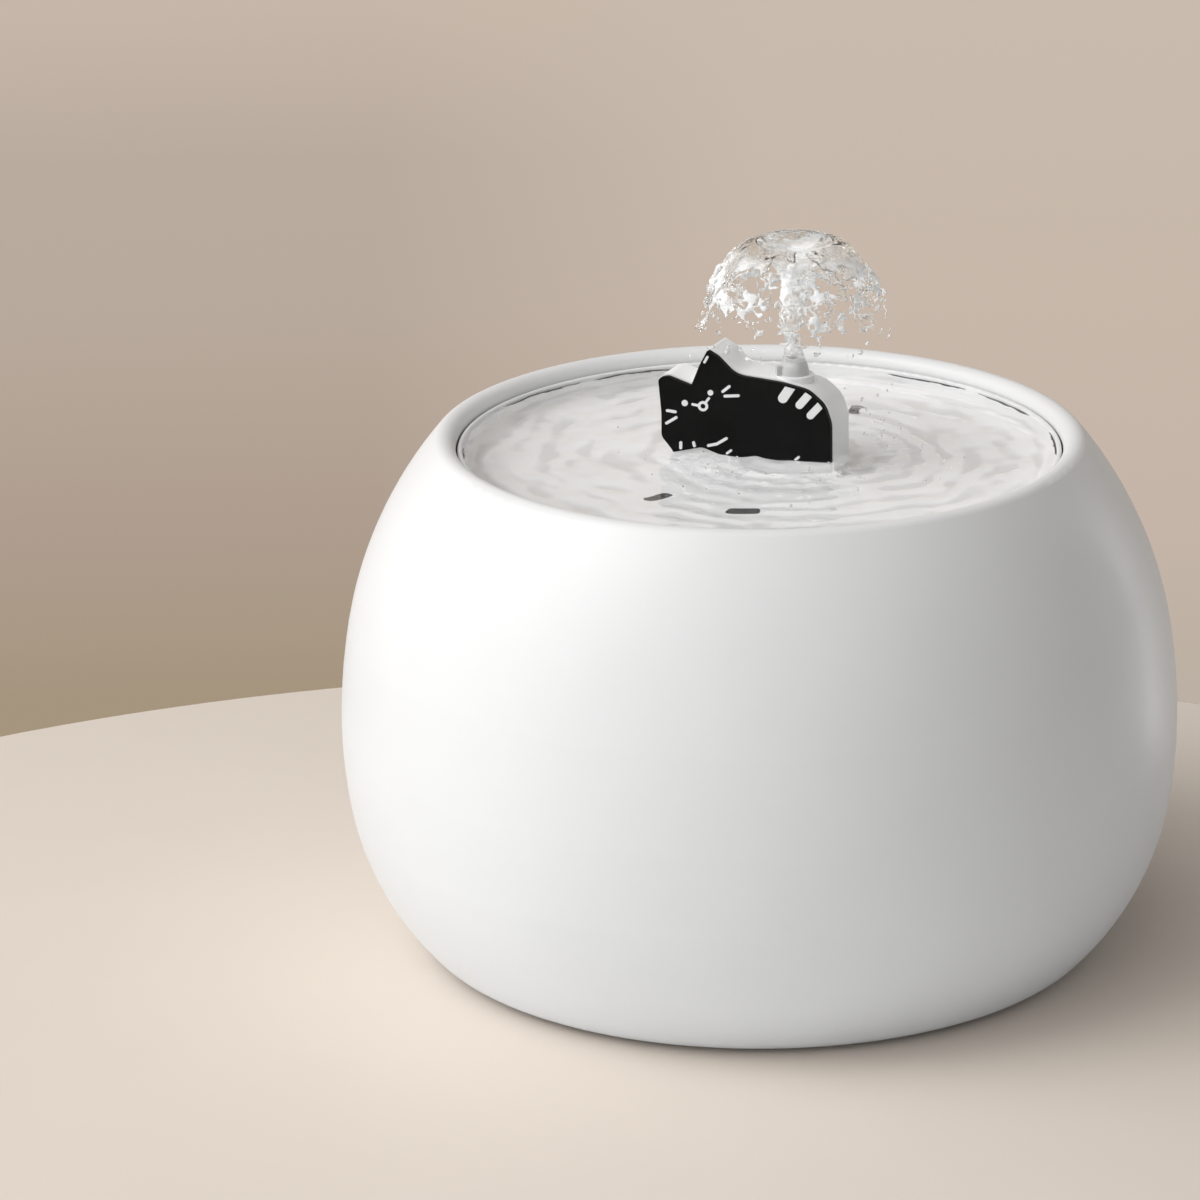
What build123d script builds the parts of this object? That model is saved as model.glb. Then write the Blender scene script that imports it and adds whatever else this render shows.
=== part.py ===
"""Pet water fountain: a bowl with a drinking tray, a cat-shaped island with a nozzle, a filter and a pump.

Millimetres. The origin is on the table under the bowl's middle, +Z is up and the cat looks along -Y.
"""
import os
from math import acos, asin, atan2, cos, degrees, radians, sin, sqrt, tan

from build123d import *

through = 1.0  # how far a cut runs past the face that it opens

# ---------------------------------------------------------------- bowl
bowl_radius = 100.0  # at its widest
widest_height = 55.5
bowl_wall = 6.0
low_side_radius = 109.8  # the side's arcs, from the widest circle down
low_side_angle = radians(10.66)
low_turn_radius = 63.4
foot_radius = 8.87
high_side_radius = 141.3  # and from the widest circle up
high_side_angle = radians(9.68)
high_turn_radius = 96.1
high_turn_angle = radians(39.82)
shelf_reach = 6.4  # how far the shelf comes in under the tray
shelf_edge = 5.0
shelf_rise = 8.0  # how far its underside climbs from the wall to its edge
shelf_bite = 2.5  # how deep the shelf runs into the wall

# ---------------------------------------------------------------- foot pads
pad_radius = 7.0
pad_thickness = 1.6
pad_pocket = 1.0
pad_circle = 60.0
pad_count = 4
pad_start = 45.0  # the first one's angle from +X
pad_gap = 0.2
pad_chamfer = 0.4

# ---------------------------------------------------------------- water, tray and seal
water_below_crest = 4.2
pool_depth = 9.0
pool_gap = 0.2
tray_gap = 0.36
tray_wall = 1.2
tray_rim_below_crest = 2.9
tray_floor = 2.2
tray_corner = 3.0
seal_thickness = 1.0
seal_width = 2.6
slot_length = 8.0
slot_width = 3.2
# the drain slots: share of the filter's radius, angle round the bowl, turn of the slot
slot_places = [(0.647, -95.6, 0.0), (0.612, -130.2, 40.0), (0.823, 61.6, 90.0), (0.733, 118.0, 40.0)]

# ---------------------------------------------------------------- filter
filter_height = 20.0
filter_wall = 1.6
filter_bore = 17.0
filter_gap = 0.3
collar_to_shelf = 3.1
collar_wall = 1.6
collar_depth = 6.0
cotton_thickness = 4.0
media_gap = 0.2
hole_radius = 2.2
hole_counts = [12, 18, 24]  # on each circle, from the inside out

# ---------------------------------------------------------------- riser, hub and nozzle
nozzle_x = 8.2
nozzle_y = -2.0
spigot_radius = 4.4
spigot_bore = 3.0
riser_wall = 1.1
riser_gap = 0.1
riser_above_case = 0.4
riser_below_floor = 4.3
riser_head_room = 0.6
hub_wall = 1.7
hub_gap = 0.3
hub_length = 12.3
nozzle_tube_radius = 2.8
nozzle_tube_bore = 2.0
nozzle_tube_depth = 2.0  # how far it goes into the tray's floor
nozzle_dome_radius = 3.4
nozzle_dome_foot = 0.9
nozzle_tip_radius = 1.7
nozzle_mouth = 1.2
nozzle_gap = 0.3  # round the tube in the island's seat
tray_hole_gap = 0.7  # and in the tray's floor
nozzle_tab_reach = 4.6
nozzle_tab_thickness = 1.4
nozzle_tab_height = 2.2
nozzle_tab_turn = 200.0  # from +X

# ---------------------------------------------------------------- island
island_x = -1.85
island_y = -5.9
island_yaw = -12.0
island_lean = 22.0  # the sides run back at this angle from +Y
island_depth = 11.0
island_wall = 1.5
island_clearance = 0.35
plate_thickness = 1.2
plate_inset = 0.3
mark_thickness = 0.15
seat_radius = 4.5
seat_depth = 3.5
seat_above_water = 19.4

# ---------------------------------------------------------------- the cat on the island's front
# corners as (along its length, above the water, rounding), from the chest over the ears to the tail
cat_corners = [
    (-19.3, 0.2, 1.5),
    (-22.1, 3.7, 2.5),
    (-22.1, 9.7, 20.0),
    (-22.9, 18.3, 1.5),
    (-20.3, 18.9, 2.0),
    (-14.8, 16.9, 0.3),
    (-12.8, 22.0, 15.0),
    (-10.8, 25.9, 0.6),
    (-8.0, 24.3, 4.0),
    (-3.9, 20.1, 6.0),
    (7.0, 18.9, 25.0),
    (13.6, 17.4, 6.0),
    (17.6, 13.9, 6.0),
    (19.2, 9.2, 9.0),
]
cat_foot = (-18.9, 19.3)
cat_foot_corner = 0.3
plate_region = 30.0  # reaches past the cat on every side
plate_corner = 1.0
plate_wave = [
    (-plate_region, 3.0, 1.0),
    (-21.4, 1.6, 0.5),
    (-19.0, 0.0, 1.0),
    (-12.0, 1.7, 3.0),
    (-5.0, -0.9, 3.0),
    (1.0, 0.4, 3.0),
    (6.0, -0.9, 3.0),
    (plate_region, -0.8, 1.0),
]
eye_places = [(-16.1, 12.3, 0.75), (-9.9, 15.2, 0.68)]
mouth_place = (-11.7, 11.8)
mouth_outer = 1.25
mouth_inner = 0.6
# strokes as (start, end, width)
mouth_strokes = [
    ((-12.9, 11.9), (-14.2, 12.1), 0.6),
    ((-11.0, 12.8), (-10.3, 13.8), 0.6),
]
whiskers = [
    ((-6.9, 15.7), (-5.4, 17.0), 0.7),
    ((-6.4, 14.6), (-3.2, 14.9), 0.7),
    ((-20.3, 10.2), (-18.4, 10.0), 0.7),
    ((-20.5, 7.1), (-18.2, 8.6), 0.7),
]
toes = [
    ((-17.1, 2.5), (-17.1, 1.2), 0.7),
    ((-14.0, 2.7), (-13.8, 1.9), 0.7),
    ((-5.9, 0.6), (-5.0, 1.3), 0.6),
    ((10.5, 0.0), (11.3, 0.7), 0.6),
]
paw_strokes = [
    ((-10.4, 2.2), (-8.4, 2.7), 0.7),
    ((-8.4, 2.7), (-6.1, 4.2), 0.7),
]
# the stripes on the back run up to this far inside the edge
stripe_inset = 0.8
back_stripes = [
    ((11.1, 20.5), (7.5, 14.9), 2.3),
    ((15.8, 18.8), (11.5, 13.5), 1.9),
    ((19.2, 16.9), (14.1, 11.1), 1.8),
]
ear_stroke = ((-11.3, 22.6), (-10.6, 23.9), 0.6)

# ---------------------------------------------------------------- jet of water
jet_points_outside = [(22.5, 28.7), (21.7, 34.6), (19.5, 40.9), (16.0, 46.7), (12.0, 50.8), (8.8, 51.9)]
jet_points_top = [(8.8, 51.9), (4.5, 50.3), (0.0, 49.1)]
jet_points_inside = [
    (3.1, 41.5),
    (6.3, 46.6),
    (10.5, 48.8),
    (14.4, 46.0),
    (18.0, 40.1),
    (20.6, 34.1),
    (21.7, 28.9),
]
jet_points_column = [(1.0, 29.1), (2.6, 34.0), (3.1, 41.5)]

# ---------------------------------------------------------------- pump
pump_width = 42.0
pump_height = 34.0
pump_depth = 30.0
pump_wall = 2.0
pump_corner = 4.0
pump_front = 3.2
cup_height = 4.6
cup_radius = 6.0
cup_lip = 0.8
cup_stem = 3.1
cup_hollow = 1.6
cup_shoulder = 2.4
cup_inset = 7.0
shaft_radius = 1.0
running_gap = 0.05
magnet_radius = 6.0
magnet_length = 23.0
well_gap = 0.6
well_wall = 1.2
well_depth = 26.4
bushing_radius = 2.2
bushing_length = 1.6
bushing_skin = 0.4  # of the volute in front of the front bushing
magnet_start = 1.0  # behind the case's front
impeller_radius = 9.0
impeller_disc = 1.4
impeller_depth = 7.0
impeller_hub = 3.0
impeller_blades = 6
blade_root = 2.5
blade_step = 1.0  # how far the blades stand back from the hub's front
blade_thickness = 1.0
chamber_radius = 10.5
chamber_gap = 0.7
volute_wall = 1.8
volute_flange_width = 30.0
volute_flange = 2.0
volute_corner = 3.0
eye_radius = 5.0
spider_radius = 2.9
spider_arm = 1.4
spider_arms = 3
spigot_above_case = 6.0
core_depth = 16.0
core_start = 8.0
core_gap = 0.2
leg_outer = 16.0
leg_inner = 4.0
leg_top_above_axis = 8.0
yoke_thickness = 3.0
yoke_drop = 12.8
coil_length = 14.0
coil_wall = 1.6
coil_end_room = 1.0
coil_room_drop = 6.0  # its top, below the axis
board_thickness = 1.6
board_width = 30.0
board_depth = 20.0
board_above_axis = 10.5

# ---------------------------------------------------------------- pump cover, sponge and dial
cover_wall = 1.8
cover_depth = 19.2
cover_slots = 7
cover_slot_width = 2.2
cover_slot_height = 18.0
cover_slot_pitch = 4.6
cover_slot_rise = 2.5
spigot_clearance = 0.6
sponge_thickness = 5.4
sponge_gap = 0.3
dial_radius = 4.4
dial_thickness = 2.0
dial_x = 12.0
dial_drop = 11.6
dial_pin_radius = 1.4
dial_grip = 1.6
dial_grip_width = 1.3
dial_grip_inset = 0.4
dial_port = 1.1
dial_port_circle = 2.8

# ---------------------------------------------------------------- power inlet and lead
inlet_height = 26.0
inlet_sink = 5.15  # from the bowl's side to the spot face
spot_half_width = 9.6
boss_half_width = 12.0
boss_length = 10.5
inlet_radius = 6.0
inlet_gap = 0.1
inlet_flange_radius = 8.6
inlet_flange = 1.8
inlet_length = 18.0
socket_radius = 2.8
socket_depth = 9.5
contact_radius = 1.0
contact_length = 8.5
gasket_thickness = 0.8
nut_across = 16.0
nut_thickness = 4.0
lead_radius = 1.7
lead_x = -8.0
lead_above_axis = 6.0
lead_inside = 1.0
lead_bend_share = 0.45
lead_run_from_pump = 15.5
lead_run_to_inlet = 12.5
grommet_radius = 3.2
grommet_length = 5.0
grommet_flange = 1.2
grommet_flange_reach = 1.0
grommet_nose_step = 0.8


# ---------------------------------------------------------------- helpers
def turned(*lines):
    """The solid swept by a closed outline of (radius, height) about the Z axis."""
    edges = [edge for line in lines for edge in line.edges()]
    return revolve(Plane.XZ * make_face(edges), Axis.Z)


def ring(outer, inner, low, high):
    """A ring about the Z axis, or a disc when inner is 0."""
    return turned(Polyline((inner, low), (outer, low), (outer, high), (inner, high), close=True))


def disc(radius, low, high):
    return ring(radius, 0, low, high)


def block(x, y, z):
    """A box from three (low, high) pairs."""
    size = [high - low for low, high in (x, y, z)]
    middle = [(high + low) / 2 for low, high in (x, y, z)]
    return Pos(*middle) * Box(*size)


def square(half_width, low, high):
    """A square prism about the Z axis."""
    side = (-half_width, half_width)
    return block(side, side, (low, high))


def lying(shape, x, z):
    """A shape made about the Z axis, laid along +Y through (x, z)."""
    return Pos(x, 0, z) * Rot(-90, 0, 0) * shape


def polar(radius, angle):
    return radius * cos(radians(angle)), radius * sin(radians(angle))


def circle_angles(count, start=0.0):
    return [start + 360.0 * i / count for i in range(count)]


def save(name, *solids):
    """Write one node, as one solid or as a group of separate ones."""
    found = [solid for shape in solids for solid in shape.solids()]
    shape = found[0] if len(found) == 1 else Compound(children=found)
    shape.label = name
    export_step(shape, f"parts/{name}.step")


# ---------------------------------------------------------------- what follows from the sizes
base_height = pad_thickness - pad_pocket
rim_radius = bowl_wall / 2

low_side_centre = Vector(bowl_radius - low_side_radius, widest_height)
low_turn_centre = low_side_centre + (low_side_radius - low_turn_radius) * Vector(
    cos(low_side_angle), -sin(low_side_angle)
)
foot_drop = low_turn_centre.Y - base_height - foot_radius
low_turn_angle = asin(foot_drop / (low_turn_radius - foot_radius))
foot_centre = low_turn_centre + (low_turn_radius - foot_radius) * Vector(
    cos(low_turn_angle), -sin(low_turn_angle)
)
high_side_centre = Vector(bowl_radius - high_side_radius, widest_height)
high_turn_centre = high_side_centre + (high_side_radius - high_turn_radius) * Vector(
    cos(high_side_angle), sin(high_side_angle)
)
rim_centre = high_turn_centre + (high_turn_radius - rim_radius) * Vector(
    cos(high_turn_angle), sin(high_turn_angle)
)

crest_height = rim_centre.Y + rim_radius
mouth_radius = rim_centre.X - rim_radius
bowl_floor = base_height + bowl_wall

water_level = crest_height - water_below_crest
tray_outer = mouth_radius - tray_gap
tray_inner = tray_outer - tray_wall
tray_rim = crest_height - tray_rim_below_crest
floor_top = water_level - pool_depth
floor_under = floor_top - tray_floor
shelf_top = floor_under - seal_thickness
shelf_inner = tray_outer - shelf_reach

filter_outer = shelf_inner - collar_to_shelf - collar_wall - filter_gap
filter_low = floor_under - filter_height
lid_low = floor_under - filter_wall
cotton_low = lid_low - cotton_thickness

riser_inner = spigot_radius + riser_gap
riser_outer = riser_inner + riser_wall
riser_top = floor_under - riser_below_floor
hub_bore = riser_outer + hub_gap
hub_outer = hub_bore + hub_wall
seat_hole = nozzle_tube_radius + nozzle_gap
tray_hole = nozzle_tube_radius + tray_hole_gap
nozzle_foot = floor_top - nozzle_tube_depth
seat_height = water_level + seat_above_water
dome_centre = seat_height + nozzle_dome_foot
nozzle_top = dome_centre + sqrt(nozzle_dome_radius**2 - nozzle_tip_radius**2)

pump_low = bowl_floor + cup_height
pump_high = pump_low + pump_height
pump_back = pump_front + pump_depth
axis_height = pump_low + pump_height / 2
well_radius = magnet_radius + well_gap
well_outer = well_radius + well_wall
chamber_front = pump_front - impeller_depth - 2 * chamber_gap - volute_flange / 2
volute_front = chamber_front - volute_wall
shaft_front = volute_front + bushing_skin
cover_front = pump_front - cover_depth
yoke_low = axis_height - yoke_drop
core_depths = (core_start, core_start + core_depth)
lead_height = axis_height + lead_above_axis
lead_start = pump_back - pump_wall - lead_inside
dial_height = axis_height - dial_drop


def upper_radius(height, inset=0.0):
    """The side's radius at a height on the arc below the rim, or its inner face's with an inset."""
    return high_turn_centre.X + sqrt((high_turn_radius - inset) ** 2 - (height - high_turn_centre.Y) ** 2)


def lower_radius(height, inset=0.0):
    """The same on the arc above the foot."""
    return low_turn_centre.X + sqrt((low_turn_radius - inset) ** 2 - (height - low_turn_centre.Y) ** 2)


spot_face = lower_radius(inlet_height) - inlet_sink
boss_face = spot_face - boss_length
inlet_outer = spot_face + gasket_thickness
inlet_inner = inlet_outer + inlet_flange - inlet_length


# ---------------------------------------------------------------- bowl
def side_arcs(inset):
    """The side's arcs from the foot to the rim, moved in by inset."""

    def arc(centre, radius, start, end):
        return CenterArc((centre.X, centre.Y), radius - inset, start, end - start)

    low_side = -degrees(low_side_angle)
    low_turn = -degrees(low_turn_angle)
    high_side = degrees(high_side_angle)
    high_turn = degrees(high_turn_angle)
    return [
        arc(foot_centre, foot_radius, -90, low_turn),
        arc(low_turn_centre, low_turn_radius, low_turn, low_side),
        arc(low_side_centre, low_side_radius, low_side, 0),
        arc(high_side_centre, high_side_radius, 0, high_side),
        arc(high_turn_centre, high_turn_radius, high_side, high_turn),
    ]


def pad_places():
    return [polar(pad_circle, angle) for angle in circle_angles(pad_count, pad_start)]


def bowl():
    outside = side_arcs(0)
    inside = side_arcs(bowl_wall)
    roll = CenterArc((rim_centre.X, rim_centre.Y), rim_radius, degrees(high_turn_angle), 180)
    edge = foot_centre.X
    floor = Polyline((edge, base_height), (0, base_height), (0, bowl_floor), (edge, bowl_floor))
    body = turned(*outside, roll, *inside, floor)

    shelf_low = shelf_top - shelf_edge
    wall_low = shelf_low - shelf_rise
    shelf = Polyline(
        (shelf_inner, shelf_top),
        (upper_radius(shelf_top, bowl_wall) + shelf_bite, shelf_top),
        (upper_radius(wall_low, bowl_wall) + shelf_bite, wall_low),
        (shelf_inner, shelf_low),
        close=True,
    )
    body += turned(shelf)

    mid_wall = side_arcs(bowl_wall / 2)
    low, high = mid_wall[0] @ 0, mid_wall[-1] @ 1
    filled = turned(*mid_wall, Polyline(high, (0, high.Y), (0, low.Y), low))
    body += filled & lying(square(boss_half_width, boss_face, bowl_radius), 0, inlet_height)
    body -= lying(square(spot_half_width, spot_face, bowl_radius), 0, inlet_height)
    body -= lying(disc(inlet_radius + inlet_gap, boss_face - through, bowl_radius), 0, inlet_height)

    for x, y in pad_places():
        body -= Pos(x, y, 0) * disc(pad_radius + pad_gap, 0, pad_thickness)
    return body


def foot_pads():
    pad = disc(pad_radius, 0, pad_thickness)
    pad = chamfer(pad.edges().filter_by(GeomType.CIRCLE).sort_by(Axis.Z)[0], pad_chamfer)
    return [Pos(x, y, 0) * pad for x, y in pad_places()]


# ---------------------------------------------------------------- tray
def hub_place():
    return Pos(nozzle_x, nozzle_y, 0)


def tray():
    inner_corner = CenterArc((tray_inner - tray_corner, floor_top + tray_corner), tray_corner, -90, 90)
    outer_corner = CenterArc((tray_outer - tray_corner, floor_under + tray_corner), tray_corner, -90, 90)
    edge = CenterArc((tray_outer - tray_wall / 2, tray_rim - tray_wall / 2), tray_wall / 2, 0, 180)
    lines = [
        Line((0, floor_under), outer_corner @ 0),
        outer_corner,
        Line(outer_corner @ 1, edge @ 0),
        edge,
        Line(edge @ 1, inner_corner @ 1),
        inner_corner,
        Polyline(inner_corner @ 0, (0, floor_top), (0, floor_under)),
    ]
    body = turned(*lines)
    collar_inner = filter_outer + filter_gap
    body += ring(collar_inner + collar_wall, collar_inner, floor_under - collar_depth, floor_under)
    hub_low = floor_under - hub_length
    body += hub_place() * disc(hub_outer, hub_low, floor_under)
    body -= hub_place() * disc(hub_bore, hub_low, riser_top + riser_head_room)
    body -= hub_place() * disc(tray_hole, hub_low, floor_top)
    for share, angle, turn in slot_places:
        x, y = polar(share * filter_outer, angle)
        slot = extrude(SlotOverall(slot_length, slot_width), 2 * tray_floor)
        body -= Pos(x, y, floor_under - tray_floor / 2) * Rot(0, 0, turn) * slot
    return body


def tray_seal():
    inner = shelf_inner + filter_gap
    return ring(inner + seal_width, inner, shelf_top, floor_under)


def water_pool():
    low_corner = tray_corner + pool_gap
    radius = tray_inner - pool_gap
    corner = CenterArc((radius - low_corner, floor_top + low_corner), low_corner, -90, 90)
    body = turned(
        Line((0, floor_top), corner @ 0),
        corner,
        Polyline(corner @ 1, (radius, water_level), (0, water_level), (0, floor_top)),
    )
    gap = island_clearance
    outline = offset(cat_outline(floor_top - tray_corner), amount=gap)
    return body - island_prism(outline, -gap, island_depth + gap)


# ---------------------------------------------------------------- filter
def filter_basket():
    top = floor_under
    inner = filter_bore + filter_wall
    outer = filter_outer - filter_wall
    floor = filter_low + filter_wall
    body = turned(
        Polyline(
            (filter_bore, filter_low),
            (filter_outer, filter_low),
            (filter_outer, top),
            (outer, top),
            (outer, floor),
            (inner, floor),
            (inner, top),
            (filter_bore, top),
            close=True,
        )
    )
    return body - perforations(filter_low, floor)


def perforations(low, high):
    """Drills on circles evenly spread between the filter's walls."""
    drill = disc(hole_radius, low - through, high + through)
    inner = filter_bore + filter_wall
    spacing = (filter_outer - filter_wall - inner) / len(hole_counts)
    holes = []
    for i, count in enumerate(hole_counts):
        for angle in circle_angles(count):
            x, y = polar(inner + (i + 0.5) * spacing, angle)
            holes.append(Pos(x, y, 0) * drill)
    return Compound(children=[solid for hole in holes for solid in hole.solids()])


def filter_layer(low, high):
    return ring(filter_outer - filter_wall - media_gap, filter_bore + filter_wall + media_gap, low, high)


def filter_lid():
    return filter_layer(lid_low, floor_under) - perforations(lid_low, floor_under)


# ---------------------------------------------------------------- island
island_plane = Plane(
    origin=(island_x, island_y, water_level),
    x_dir=(cos(radians(island_yaw)), sin(radians(island_yaw)), 0),
    z_dir=(sin(radians(island_yaw)), -cos(radians(island_yaw)), 0),
)
island_back = Vector(sin(radians(island_lean)), cos(radians(island_lean)), 0)


def rounded_outline(corners):
    """A closed face from corners given as (x, y, rounding)."""
    points = [(x, y) for x, y, _ in corners]
    roundings = [rounding for _, _, rounding in corners]
    return make_face(FilletPolyline(*points, radius=roundings, close=True).edges())


def cat_outline(bottom):
    """The lying cat, as (along its length, above the water), down to a height given in the part's frame."""
    left, right = [(x, bottom - water_level, cat_foot_corner) for x in cat_foot]
    return rounded_outline([left, *cat_corners, right])


def island_prism(outline, near, far):
    """The outline run back along the island's sides from near to far."""
    face = Pos(*(island_back * near)) * (island_plane * outline)
    return extrude(face, amount=far - near, dir=island_back)


def island_shell():
    body = island_prism(cat_outline(floor_top), plate_thickness, island_depth)
    hollow = offset(cat_outline(floor_top - 4 * island_wall), amount=-island_wall)
    body -= island_prism(hollow, plate_thickness + island_wall, island_depth - island_wall)
    body += hub_place() * disc(seat_radius, seat_height - seat_depth, seat_height)
    return body - hub_place() * disc(seat_hole, seat_height - 2 * seat_depth, seat_height)


def plate_outline():
    """The cat's front above its wavy water line."""
    left = (-plate_region, plate_region, plate_corner)
    right = (plate_region, plate_region, plate_corner)
    return offset(cat_outline(floor_top), amount=-plate_inset) & rounded_outline([left, *plate_wave, right])


def face_plate():
    return island_prism(plate_outline(), 0, plate_thickness)


def stroke(start, end, width):
    """A bar with round ends between two points of the cat's front."""
    run = Vector(*end) - Vector(*start)
    middle = (Vector(*start) + Vector(*end)) / 2
    turn = degrees(atan2(run.Y, run.X))
    return Pos(middle.X, middle.Y) * Rot(0, 0, turn) * SlotCenterToCenter(run.length, width)


def face_marks():
    eyes = [Pos(x, z) * Circle(radius) for x, z, radius in eye_places]
    mouth = Pos(*mouth_place) * (Circle(mouth_outer) - Circle(mouth_inner))
    for line in mouth_strokes:
        mouth += stroke(*line)
    paw = stroke(*paw_strokes[0]) + stroke(*paw_strokes[1])
    lines = [stroke(*line) for line in [*whiskers, *toes, ear_stroke]]
    inside = offset(cat_outline(floor_top), amount=-stripe_inset)
    stripes = [stroke(*line) & inside for line in back_stripes]
    return [island_prism(mark, -mark_thickness, 0) for mark in [*eyes, mouth, paw, *lines, *stripes]]


# ---------------------------------------------------------------- nozzle and jet
def nozzle():
    """A tube under a dome, with a tab to pull it out by."""
    tip_angle = degrees(acos(nozzle_tip_radius / nozzle_dome_radius))
    dome = CenterArc((0, dome_centre), nozzle_dome_radius, 0, tip_angle)
    outside = Polyline(
        (nozzle_tube_bore, nozzle_foot),
        (nozzle_tube_radius, nozzle_foot),
        (nozzle_tube_radius, seat_height),
        (nozzle_dome_radius, seat_height),
        (nozzle_dome_radius, dome_centre),
    )
    bore = Polyline(
        (nozzle_tip_radius, nozzle_top),
        (nozzle_mouth, nozzle_top),
        (nozzle_mouth, nozzle_top - nozzle_mouth),
        (nozzle_tube_bore, seat_height),
        (nozzle_tube_bore, nozzle_foot),
    )
    half = nozzle_tab_thickness / 2
    tab = block(
        (nozzle_tube_radius, nozzle_tab_reach),
        (-half, half),
        (seat_height, seat_height + nozzle_tab_height),
    )
    return hub_place() * (turned(outside, dome, bore) + Rot(0, 0, nozzle_tab_turn) * tab)


def water_jet():
    """The column, its rolled crown and the falling bell, as (radius, above the water)."""
    start = nozzle_top - water_level

    def raised(points):
        return [(r, z + water_level) for r, z in points]

    outside = Spline(*raised(jet_points_outside))
    top = Spline(*raised(jet_points_top))
    inside = Spline(*raised(jet_points_inside))
    column = Spline(*raised([(nozzle_mouth, start), *jet_points_column]))
    axis = Polyline(top @ 1, (0, start + water_level), column @ 0)
    hem = Line(inside @ 1, outside @ 0)
    return hub_place() * turned(outside, top, axis, column, inside, hem)


# ---------------------------------------------------------------- pump
def rounded_block(x, y, z, radius):
    """A box with its edges along Y rounded."""
    body = block(x, y, z)
    return fillet(body.edges().filter_by(Axis.Y), radius)


def pump_box(y, inset=0.0):
    """A slice of the pump's outer form, or of what is inside it."""
    half = pump_width / 2 - inset
    return rounded_block((-half, half), y, (pump_low + inset, pump_high - inset), pump_corner - inset)


def about_pump_axis(shape):
    return lying(shape, 0, axis_height)


def well():
    return about_pump_axis(disc(well_outer, pump_front, pump_front + well_depth + well_wall))


def pump_cavity():
    return pump_box((pump_front + pump_wall, pump_back - pump_wall), pump_wall) - well()


def along_lead(shape):
    return lying(shape, lead_x, lead_height)


def cup_places():
    half = pump_width / 2 - cup_inset
    return [(x, y) for x in (-half, half) for y in (pump_front + cup_inset, pump_back - cup_inset)]


def pump_case():
    body = pump_box((pump_front, pump_back)) - pump_cavity()
    body -= about_pump_axis(disc(well_radius, pump_front, pump_front + well_depth))
    return body - along_lead(disc(grommet_radius, pump_back - pump_wall, pump_back))


def shaft_bushings():
    """The front one sits in the volute's spider, the back one at the end of the well."""
    back = pump_front + well_depth
    spans = [(shaft_front, shaft_front + bushing_length), (back - bushing_length, back)]
    return [about_pump_axis(ring(bushing_radius, shaft_radius, *span)) for span in spans]


def impeller_shaft():
    return about_pump_axis(disc(shaft_radius, shaft_front, pump_front + well_depth))


def stator_core():
    """A yoke under the rotor's well and a leg on each side of it."""
    yoke_top = yoke_low + yoke_thickness
    leg_top = axis_height + leg_top_above_axis
    body = block((-leg_outer, leg_outer), core_depths, (yoke_low, yoke_top))
    for side in (-1, 1):
        x = sorted((side * leg_inner, side * leg_outer))
        body += block(x, core_depths, (yoke_low, leg_top))
    half = coil_length / 2 + coil_end_room
    body -= block((-half, half), core_depths, (yoke_top, axis_height - coil_room_drop))
    return body - about_pump_axis(disc(well_outer + core_gap, 0, pump_back))


def stator_coil():
    """The winding on the yoke."""
    half = coil_length / 2
    yoke = (yoke_low, yoke_low + yoke_thickness)
    depths = (core_depths[0] - coil_wall, core_depths[1] + coil_wall)
    body = block((-half, half), depths, (yoke[0] - coil_wall, yoke[1] + coil_wall))
    return body - block((-half - through, half + through), core_depths, yoke)


def driver_board():
    half = board_width / 2
    low = axis_height + board_above_axis
    return block((-half, half), (core_start, core_start + board_depth), (low, low + board_thickness))


def pump_potting():
    lead_end = along_lead(disc(lead_radius, lead_start, pump_back))
    return pump_cavity() - stator_core() - stator_coil() - driver_board() - lead_end


def volute_cover():
    """The pump chamber with its flange, the outlet spigot and the spider that holds the front bushing."""
    spigot_top = pump_high + spigot_above_case
    half = volute_flange_width / 2
    body = about_pump_axis(disc(chamber_radius + volute_wall, volute_front, pump_front))
    flange = (pump_front - volute_flange, pump_front)
    body += rounded_block((-half, half), flange, (axis_height - half, axis_height + half), volute_corner)
    body += hub_place() * disc(spigot_radius, axis_height, spigot_top)
    body -= about_pump_axis(disc(chamber_radius, chamber_front, pump_front))
    body -= hub_place() * disc(spigot_bore, axis_height, spigot_top)
    body -= about_pump_axis(ring(eye_radius, spider_radius, volute_front, chamber_front))
    reach = eye_radius + through
    arm = block((-reach, reach), (volute_front, chamber_front), (-spider_arm / 2, spider_arm / 2))
    for i in range(spider_arms):
        body += Pos(0, 0, axis_height) * Rot(0, 180 * i / spider_arms, 0) * arm
    return body - about_pump_axis(disc(bushing_radius, shaft_front, chamber_front))


def rotor_magnet():
    start = pump_front + magnet_start
    return about_pump_axis(ring(magnet_radius, shaft_radius + running_gap, start, start + magnet_length))


def impeller():
    back = pump_front - chamber_gap
    front = back - impeller_depth
    bore = shaft_radius + running_gap
    body = about_pump_axis(ring(impeller_hub, bore, front, pump_front + magnet_start))
    body += about_pump_axis(ring(impeller_radius, bore, back - impeller_disc, back))
    half = blade_thickness / 2
    blade = block((blade_root, impeller_radius), (front + blade_step, back), (-half, half))
    for angle in circle_angles(impeller_blades):
        body += Pos(0, 0, axis_height) * Rot(0, angle, 0) * blade
    return body


def suction_cups():
    profile = Polyline(
        (0, cup_hollow),
        (cup_radius, 0),
        (cup_radius, cup_lip),
        (cup_stem, cup_shoulder),
        (cup_stem, cup_height),
        (0, cup_height),
        close=True,
    )
    return [Pos(x, y, bowl_floor) * turned(profile) for x, y in cup_places()]


def riser_tube():
    return hub_place() * ring(riser_outer, riser_inner, pump_high + riser_above_case, riser_top)


# ---------------------------------------------------------------- pump cover
def cover_slot():
    slot = extrude(SlotOverall(cover_slot_height, cover_slot_width, rotation=90), cover_wall)
    return Pos(0, 0, cover_front) * slot


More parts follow.
